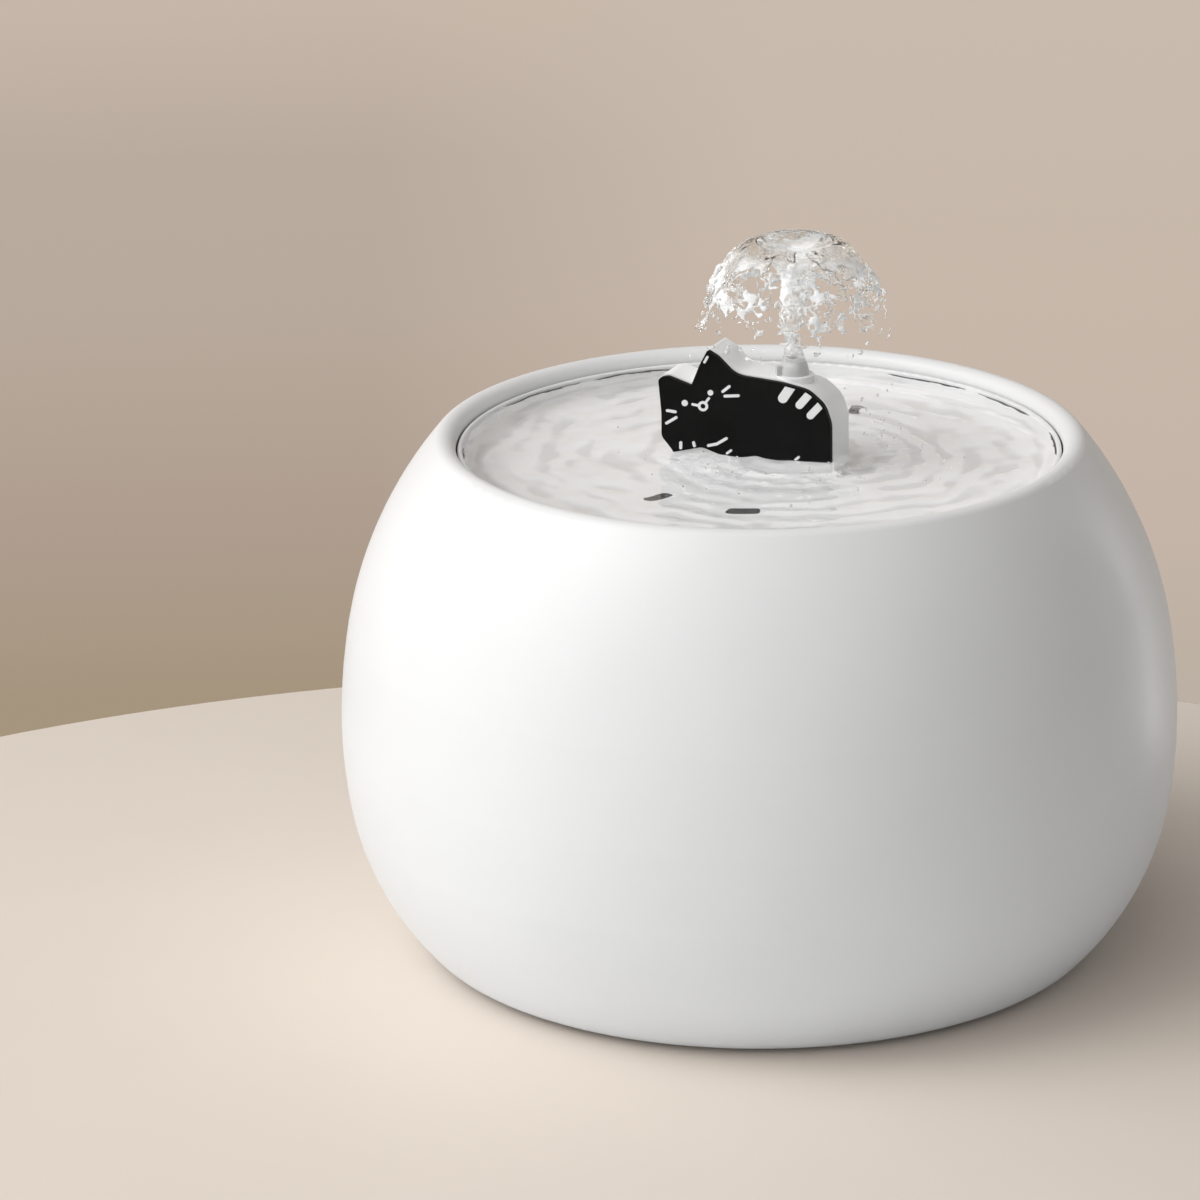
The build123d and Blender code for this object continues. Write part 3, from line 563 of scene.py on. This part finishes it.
def along(points, t):
    """A point at share t of a smooth line through the points."""
    place = t * (len(points) - 1)
    i = min(int(place), len(points) - 2)
    f = place - i
    near = [points[max(i - 1, 0)], points[i], points[i + 1], points[min(i + 2, len(points) - 1)]]
    return [
        0.5 * (2 * b + (c - a) * f + (2 * a - 5 * b + 4 * c - d) * f**2 + (3 * b - a - 3 * c + d) * f**3)
        for a, b, c, d in zip(*near)
    ]


def bell_cover(point, t):
    """How much water there is at share t of the way down the bell: over 0 in water, under 0 in a gap."""
    warp = Vector((fractal(point, 5 * MM), fractal(point + Vector((0.1, 0, 0)), 5 * MM), 0)) * 2.0 * MM
    vein = abs(noise.noise((point + warp) / (5.0 * MM)))
    fine = abs(noise.noise((point + warp) / (2.6 * MM) + Vector((5, 3, 1))))
    patch = fractal(point + Vector((0.2, 0.1, 0)), 8 * MM)
    sheet = 1.0 - 2.9 * smooth_step(0.22, 0.62, t) + 1.7 * patch
    strands = 0.15 - 0.07 * smooth_step(0.5, 1.0, t) - min(vein, 0.04 + fine * 1.2)
    gate = patch + 0.42 - 0.62 * smooth_step(0.5, 1.0, t)
    return max(sheet, min(strands * 4, gate))


def bell(finish):
    """The falling skirt of water: a sheet at the crown that tears into strands lower down."""
    rows, sectors = 118, 400
    outer, inner, covers = [], [], []
    for i in range(rows + 1):
        t = i / rows
        r, z = along(BELL, t)
        for k in range(sectors):
            angle = 2 * math.pi * k / sectors
            outward = Vector((math.cos(angle), math.sin(angle), 0))
            base = Vector((jet_x, jet_y, water_z + z * MM)) + outward * r * MM
            sway = fractal(base + Vector((0, 0, 0.4)), 11 * MM) * smooth_step(0.05, 0.8, t)
            rough = fractal(base, 2.4 * MM) * smooth_step(0, 0.3, t)
            base += outward * (sway * BELL_SWAY + BELL_ROUGHNESS * rough)
            base.z = min(base.z, jet_high.z - BELL_BELOW_TOP)
            cover = bell_cover(base, t)
            half = BELL_THICKNESS / 2 * min(math.sqrt(max(cover, 0.0)) * 1.5, 1.0) + BELL_EDGE
            normal = (outward * 0.75 + Vector((0, 0, 0.66))).normalized()
            covers.append(cover)
            outer.append(base + normal * half)
            inner.append(base - normal * half)
    count = len(outer)
    vertices = outer + inner
    solid = {}
    for i in range(rows):
        for k in range(sectors):
            n = (k + 1) % sectors
            quad = (i * sectors + k, i * sectors + n, (i + 1) * sectors + n, (i + 1) * sectors + k)
            if max(covers[q] for q in quad) > 0 and sum(covers[q] > 0 for q in quad) >= 2:
                solid[i, k] = quad
    faces = []
    for (i, k), (a, b, c, d) in solid.items():
        faces.append((d, c, b, a))
        faces.append((a + count, b + count, c + count, d + count))
        sides = {
            (i - 1, k): (a, b),
            (i + 1, k): (c, d),
            (i, (k + 1) % sectors): (b, c),
            (i, (k - 1) % sectors): (d, a),
        }
        for beside, (p, q) in sides.items():
            if beside not in solid:
                faces.append((p, q, q + count, p + count))
    trim_loose(piece("water_bell", vertices, faces, "nozzle", finish))


def trim_loose(obj):
    """Removes vertices that no face uses, then rounds the torn edges."""
    axes = {"use_axis_x": True, "use_axis_y": True, "use_axis_z": True}
    mesh = bmesh.new()
    mesh.from_mesh(obj.data)
    bmesh.ops.delete(mesh, geom=[v for v in mesh.verts if not v.link_faces], context="VERTS")
    for _ in range(3):
        bmesh.ops.smooth_vert(mesh, verts=mesh.verts, factor=0.5, **axes)
    bmesh.ops.recalc_face_normals(mesh, faces=mesh.faces)
    mesh.to_mesh(obj.data)
    mesh.free()


def column(finish):
    """The rising column, which opens into the crown and closes within it as a shallow dimple."""
    rows, sectors = 90, 72
    profile = [along(COLUMN, i / rows) for i in range(rows + 1)]
    dimple = []
    for i in range(1, DIMPLE_RINGS):
        inwards = i / DIMPLE_RINGS
        sunk = DIMPLE_DEPTH * math.sin(math.pi / 2 * inwards)
        dimple.append((CROWN[0] * (1 - inwards), DIMPLE_RIM - sunk))
    vertices = []
    for r, z in profile + dimple:
        for k in range(sectors):
            angle = 2 * math.pi * k / sectors
            outward = Vector((math.cos(angle), math.sin(angle), 0))
            point = Vector((jet_x, jet_y, water_z + z * MM)) + outward * r * MM
            point.x += PINCH_SHIFT * math.exp(-(((z - PINCH_HEIGHT) / PINCH_LENGTH) ** 2))
            rough = (0.15 + 0.4 * smooth_step(27, 36, z) * smooth_step(0.2, 3, r)) * MM
            point += outward * rough * fractal(point, 2.6 * MM)
            point.z = min(point.z, jet_high.z - COLUMN_BELOW_TOP)
            vertices.append(point)
    low, high = len(vertices), len(vertices) + 1
    vertices.append(Vector((jet_x, jet_y, vertices[0].z)))
    vertices.append(Vector((jet_x, jet_y, water_z + DIMPLE_FOOT * MM)))
    rings = len(profile) + len(dimple)
    faces = []
    for i in range(rings - 1):
        for k in range(sectors):
            n = (k + 1) % sectors
            a, b = i * sectors, (i + 1) * sectors
            faces.append((a + k, a + n, b + n, b + k))
    last = (rings - 1) * sectors
    for k in range(sectors):
        n = (k + 1) % sectors
        faces.append((low, n, k))
        faces.append((high, last + k, last + n))
    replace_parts(piece("water_column", vertices, faces, "nozzle", finish), "water_jet")


def drop(place, size, stretch, lean):
    """Vertices and faces of one drop, drawn out along its fall."""
    turns, levels = 10, 7
    tilt = Euler(lean).to_matrix()
    vertices = [place + tilt @ Vector((0, 0, -size * stretch))]
    for i in range(1, levels):
        pitch = math.pi * i / levels
        taper = 1 - 0.35 * smooth_step(0.4, 1.0, i / levels) * (stretch - 1)
        for k in range(turns):
            angle = 2 * math.pi * k / turns
            r = size * math.sin(pitch) * taper
            z = -size * stretch * math.cos(pitch)
            vertices.append(place + tilt @ Vector((r * math.cos(angle), r * math.sin(angle), z)))
    vertices.append(place + tilt @ Vector((0, 0, size * stretch)))
    top = len(vertices) - 1
    faces = []
    for k in range(turns):
        n = (k + 1) % turns
        faces.append((0, 1 + n, 1 + k))
        faces.append((top, top - turns + k, top - turns + n))
        for i in range(levels - 2):
            a, b = 1 + i * turns, 1 + (i + 1) * turns
            faces.append((a + k, a + n, b + n, b + k))
    return vertices, faces


TORN_DROPS, FALLING_DROPS, LEAPING_DROPS = 90, 45, 60
PLATE_RIGHT, PLATE_TOP = 15 * MM, 30 * MM  # where the cat ends, right of the jet and over the water


def drops(finish):
    """Drops that tear off the bell, ones that fall from it and ones that leap where it lands."""
    vertices, faces = [], []

    def put(place, size, stretch):
        lean = (random.uniform(-0.4, 0.4), random.uniform(-0.4, 0.4), 0)
        some, sides = drop(place, size, stretch, lean)
        start = len(vertices)
        vertices.extend(some)
        faces.extend(tuple(start + i for i in side) for side in sides)

    def before_cat(place):
        """Whether the drop would hang in front of the cat's plate."""
        return place.y < jet_y and place.x < jet_x + PLATE_RIGHT and place.z < water_z + PLATE_TOP

    def about_jet(r, angle, height):
        return Vector((jet_x + r * math.cos(angle), jet_y + r * math.sin(angle), water_z + height))

    for _ in range(TORN_DROPS):
        t = random.uniform(0.5, 1.0)
        r, z = along(BELL, t)
        place = about_jet((r + random.uniform(-1.5, 1.2)) * MM, random.uniform(0, 2 * math.pi), z * MM)
        put(place, random.uniform(0.2, 0.55) * MM, random.uniform(1.0, 1.9))
    for _ in range(FALLING_DROPS):
        r = FALL_RADIUS + random.gauss(0.5, 3.0) * MM
        place = about_jet(r, random.uniform(0, 2 * math.pi), random.uniform(0.8, 27.0) * MM)
        if not before_cat(place):
            put(place, random.uniform(0.14, 0.4) * MM, random.uniform(1.0, 1.7))
    for _ in range(LEAPING_DROPS):
        r = FALL_RADIUS + random.gauss(4.0, 8.0) * MM
        place = about_jet(r, random.uniform(0, 2 * math.pi), random.uniform(0.2, 1.0) * MM)
        if math.hypot(place.x, place.y) < pool_radius - 3 * MM:
            put(place, random.uniform(0.15, 0.4) * MM, 1.0)
    piece("water_drops", vertices, faces, "nozzle", finish)


# ---------------------------------------------------------------- stage, light and camera
# the sockets of a Mix node that mixes colours
FACTOR, FIRST, SECOND, MIXED = 0, 6, 7, 2


def table():
    """A round pale table top with a soft edge."""
    sectors, steps = 256, 6
    rings = []
    for i in range(steps + 1):
        angle = math.pi / 2 * i / steps
        out, down = TABLE_EDGE * math.sin(angle), TABLE_EDGE * (1 - math.cos(angle))
        rings.append((TABLE_RADIUS - TABLE_EDGE + out, -down))
    rings.append((TABLE_RADIUS, -TABLE_THICKNESS))
    vertices = [TABLE_CENTRE.copy()]
    for radius, z in rings:
        for k in range(sectors):
            angle = 2 * math.pi * k / sectors
            x, y = radius * math.cos(angle), radius * math.sin(angle)
            vertices.append(TABLE_CENTRE + Vector((x, y, z)))
    faces = [(0, 1 + k, 1 + (k + 1) % sectors) for k in range(sectors)]
    for i in range(len(rings) - 1):
        a, b = 1 + i * sectors, 1 + (i + 1) * sectors
        for k in range(sectors):
            n = (k + 1) % sectors
            faces.append((a + k, b + k, b + n, a + n))
    mesh = bpy.data.meshes.new("table")
    mesh.from_pydata(vertices, [], faces)
    mesh.shade_smooth()
    finish = Finish("table_top", Specular_IOR_Level=0.2)
    finish.colour(finish.noise(60 * MM), TABLE_COLOUR * 0.995, TABLE_COLOUR * 1.005)
    shown = finish.shader.inputs["Base Color"].links[0].from_socket
    mix = finish.add("Mix", data_type="RGBA")
    mix.inputs[FIRST].default_value = (*TABLE_BOUNCE, 1)
    finish.link(seen_rays(finish.tree), mix.inputs[FACTOR])
    finish.link(shown, mix.inputs[SECOND])
    finish.link(mix.outputs[MIXED], finish.shader.inputs["Base Color"])
    finish.rough(finish.noise(30 * MM), 0.55, 0.7)
    finish.bump(finish.noise(1.5 * MM), 0.01 * MM)
    mesh.materials.append(finish.material)
    obj = bpy.data.objects.new("table", mesh)
    bpy.context.scene.collection.objects.link(obj)


def seen_rays(tree):
    """1 for what the camera sees, also mirrored or through water, and 0 for the light on things."""
    path = tree.nodes.new("ShaderNodeLightPath")

    def combine(operation, first, second):
        node = tree.nodes.new("ShaderNodeMath")
        node.operation = operation
        tree.links.new(first, node.inputs[0])
        tree.links.new(second, node.inputs[1])
        return node.outputs[0]

    seen = path.outputs["Is Camera Ray"]
    for name in ("Is Glossy Ray", "Is Transmission Ray"):
        seen = combine("MAXIMUM", seen, path.outputs[name])
    lighting = tree.nodes.new("ShaderNodeMath")
    lighting.operation = "LESS_THAN"
    lighting.inputs[1].default_value = 0.5
    tree.links.new(path.outputs["Diffuse Depth"], lighting.inputs[0])
    return combine("MULTIPLY", seen, lighting.outputs[0])


def surroundings():
    """A warm wall as it is seen, with painted shade towards its foot and on its left, and soft white
    light, mostly from the window's side.
    """
    world = bpy.data.worlds.new("room")
    bpy.context.scene.world = world
    world.use_nodes = True
    tree = world.node_tree
    tree.nodes.clear()

    def add(kind, operation=None, *values):
        """The outputs of a node whose inputs are linked or set to the values, in their order."""
        node = tree.nodes.new("ShaderNode" + kind)
        if operation:
            node.operation = operation
        for socket, value in zip(node.inputs, values):
            if isinstance(value, bpy.types.NodeSocket):
                tree.links.new(value, socket)
            elif value is not None:
                socket.default_value = value
        return node.outputs

    way = add("TexCoord")["Generated"]
    total = 0.0
    for side, strength in ROOM_LIGHT:
        facing = add("VectorMath", "DOT_PRODUCT", way, side)["Value"]
        facing = add("Math", "MAXIMUM", facing, 0.0)[0]
        total = add("Math", "MULTIPLY_ADD", facing, strength, total)[0]
    light = add("Background", None, (1, 1, 1, 1), total)[0]

    split = add("SeparateXYZ", None, way)
    across = add("MapRange", None, split["X"], *WALL_TURN)[0]
    sides = []
    for colours in (WALL_LEFT_SHADED, WALL_RIGHT_SHADED):
        depth = add("MapRange", None, split["Z"], WALL_TOP, WALL_FOOT)[0]
        ramp = tree.nodes.new("ShaderNodeValToRGB")
        tree.links.new(depth, ramp.inputs["Fac"])
        stops = ramp.color_ramp.elements
        while len(stops) < len(colours):
            stops.new(0.5)
        for stop, (place, colour) in zip(stops, colours):
            stop.position = place
            stop.color = (*colour, 1)
        sides.append(ramp.outputs["Color"])
    blend = tree.nodes.new("ShaderNodeMix")
    blend.data_type = "RGBA"
    for place, source in zip((FACTOR, FIRST, SECOND), (across, *sides)):
        tree.links.new(source, blend.inputs[place])
    wall = add("Background", None, blend.outputs[MIXED], 1.0)[0]

    mixed = add("MixShader", None, seen_rays(tree), light, wall)[0]
    add("OutputWorld", None, mixed)


def lamp(name, azimuth, elevation, size, power):
    """A soft white lamp aimed at the bowl."""
    a, e = math.radians(azimuth), math.radians(elevation)
    way = Vector((math.sin(a) * math.cos(e), -math.cos(a) * math.cos(e), math.sin(e)))
    light = bpy.data.lights.new(name, "AREA")
    light.shape = "RECTANGLE"
    light.size, light.size_y = size
    light.energy = power
    obj = bpy.data.objects.new(name, light)
    obj.location = LAMP_AIM + way * LAMP_DISTANCE
    obj.rotation_euler = way.to_track_quat("Z", "Y").to_euler()
    bpy.context.scene.collection.objects.link(obj)


def camera():
    """Looks down at the bowl, with the frame shifted so that the bowl stands right of its middle."""
    data = bpy.data.cameras.new("camera")
    data.sensor_width = SENSOR
    data.lens = FOCAL_PIXELS / IMAGE_SIZE * SENSOR
    data.shift_x = -(OBJECT_COLUMN - IMAGE_SIZE / 2) / IMAGE_SIZE
    data.clip_end = 20
    obj = bpy.data.objects.new("camera", data)
    obj.location = (0, -CAMERA_DISTANCE, CAMERA_HEIGHT)
    obj.rotation_euler = (math.pi / 2 - CAMERA_TILT, 0, 0)
    bpy.context.scene.collection.objects.link(obj)
    bpy.context.scene.camera = obj


bpy.context.scene.view_settings.view_transform = "Standard"
camera()
surroundings()
for settings in LAMPS:
    lamp(*settings)
table()
finish_cad_nodes()
shade_slots(moulded("slot_shade", grey(0.02), grey(0.035), (0.5, 0.7)))
torn_water = water("torn_water", (0.05, 0.9), clear_from=jet_high.z - 6 * MM, relief=0.03 * MM)
# the pool's greys are painted caustic light and shade; the edge's near-blacks are the painted shade of
# its dark strokes
water_surface(
    pool_water("pool_water", dim=0.72, bright=0.995, clearness=0.94),
    pool_water("pool_edge_painted_shade", dim=0.02, bright=0.06, clearness=0.0),
)
column(torn_water)
bell(torn_water)
drops(water("drop_water", (0.6, 0.9), clear_from=jet_high.z))
